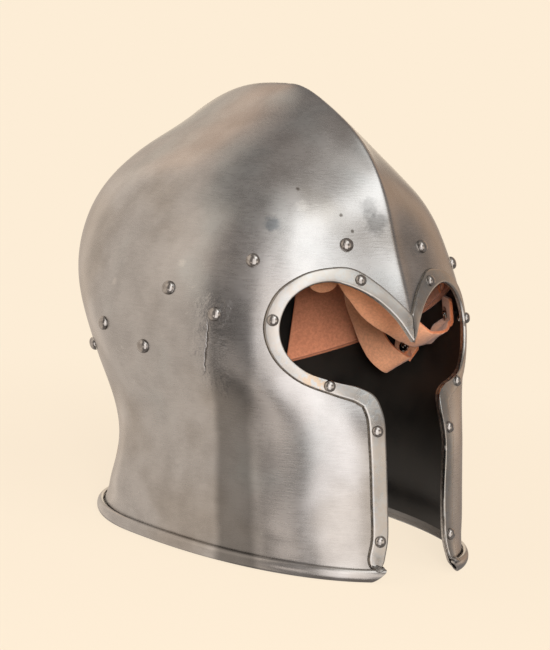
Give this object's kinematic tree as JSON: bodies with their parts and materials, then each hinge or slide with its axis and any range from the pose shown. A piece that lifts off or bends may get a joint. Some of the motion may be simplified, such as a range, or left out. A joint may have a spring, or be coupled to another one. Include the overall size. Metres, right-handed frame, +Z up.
{
  "type": "barbute helmet",
  "caption": "Open-faced steel war helmet with a T-shaped face opening, a ridged crown, riveted trim, a rolled rim, a leather liner and a buckled chin strap.",
  "frame": {"origin": "on the surface that the rim stands on, under the middle of the box round the helmet", "axes": "+Z up to the crown; the face looks towards -Y and the nape towards +Y; the wearer's left is +X"},
  "size_m": [0.2297, 0.2886, 0.2705],
  "materials": {
    "raised_steel": "satin",
    "trim_steel": "satin",
    "rivet_steel": "polished",
    "liner_leather": "suede",
    "strap_leather": "suede"
  },
  "bodies": {
    "helmet": {"skull": "raised_steel", "rim_wire": "raised_steel", "trim_left": "trim_steel", "trim_right": "trim_steel", "trim_rivet_brow_left": "rivet_steel", "trim_rivet_temple_left": "rivet_steel", "trim_rivet_cheekbone_left": "rivet_steel", "trim_rivet_cheek_left": "rivet_steel", "trim_rivet_foot_left": "rivet_steel", "trim_rivet_brow_right": "rivet_steel", "trim_rivet_temple_right": "rivet_steel", "trim_rivet_cheekbone_right": "rivet_steel", "trim_rivet_cheek_right": "rivet_steel", "trim_rivet_foot_right": "rivet_steel", "liner_rivet_1_left": "rivet_steel", "liner_rivet_2_left": "rivet_steel", "liner_rivet_3_left": "rivet_steel", "liner_rivet_4_left": "rivet_steel", "liner_rivet_5_left": "rivet_steel", "liner_washer_1_left": "rivet_steel", "liner_washer_2_left": "rivet_steel", "liner_washer_3_left": "rivet_steel", "liner_washer_4_left": "rivet_steel", "liner_washer_5_left": "rivet_steel", "liner_rivet_1_right": "rivet_steel", "liner_rivet_2_right": "rivet_steel", "liner_rivet_3_right": "rivet_steel", "liner_rivet_4_right": "rivet_steel", "liner_rivet_5_right": "rivet_steel", "liner_washer_1_right": "rivet_steel", "liner_washer_2_right": "rivet_steel", "liner_washer_3_right": "rivet_steel", "liner_washer_4_right": "rivet_steel", "liner_washer_5_right": "rivet_steel", "strap_rivet_front_left": "rivet_steel", "strap_washer_front_left": "rivet_steel", "strap_rivet_rear_left": "rivet_steel", "strap_washer_rear_left": "rivet_steel", "strap_rivet_front_right": "rivet_steel", "strap_washer_front_right": "rivet_steel", "strap_rivet_rear_right": "rivet_steel", "strap_washer_rear_right": "rivet_steel", "headband": "liner_leather", "liner_lobe_front_left": "liner_leather", "liner_lobe_side_left": "liner_leather", "liner_lobe_rear_left": "liner_leather", "liner_lobe_front_right": "liner_leather", "liner_lobe_side_right": "liner_leather", "liner_lobe_rear_right": "liner_leather", "strap_join_rivet_left": "rivet_steel", "strap_join_rivet_right": "rivet_steel", "chin_strap_front_left": "strap_leather", "chin_strap_rear_left": "strap_leather", "chin_strap_front_right": "strap_leather", "chin_strap_rear_right": "strap_leather", "chin_strap_tongue": "strap_leather", "buckle_strap": "strap_leather"},
    "buckle": {"buckle_frame": "rivet_steel"},
    "prong": {"buckle_prong": "rivet_steel"}
  },
  "joints": [
    {"name": "buckle_swing", "type": "hinge", "parent": "helmet", "child": "buckle", "pos_m": [-0.07733, -0.03517, 0.04597], "axis": [0, -1, 0], "range_deg": [-15, 60]},
    {"name": "prong_swing", "type": "hinge", "parent": "buckle", "child": "prong", "pos_m": [-0.07733, -0.03517, 0.04597], "axis": [0, -1, 0], "range_deg": [0, 60]}
  ]
}
